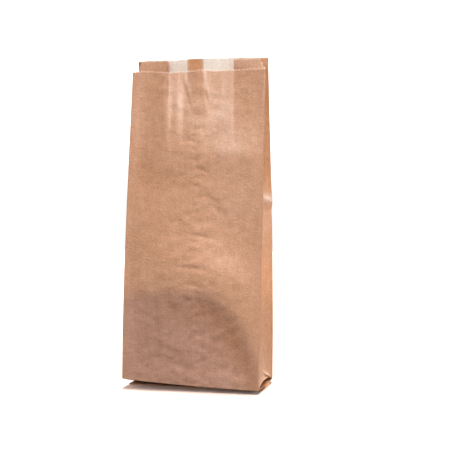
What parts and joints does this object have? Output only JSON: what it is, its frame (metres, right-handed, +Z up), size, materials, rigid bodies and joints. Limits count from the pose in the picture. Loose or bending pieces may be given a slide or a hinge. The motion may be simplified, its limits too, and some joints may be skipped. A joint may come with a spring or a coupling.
{
  "type": "gusseted paper bag",
  "caption": "Standing kraft paper lunch bag with side gussets, a pinched folded-over bottom and a pinked mouth.",
  "frame": {"origin": "on the flat underside, where the pinched line of the bottom crosses the bag's middle", "axes": "+Z up towards the mouth, +X to the right of someone facing the front panel, +Y to the back panel with the lapped seam"},
  "size_m": [0.1412, 0.0711, 0.3339],
  "materials": {
    "kraft_paper": "natural brown kraft, machine glazed on the outside, matt"
  },
  "bodies": {
    "root": {"paper_bag": "kraft_paper"}
  },
  "joints": []
}
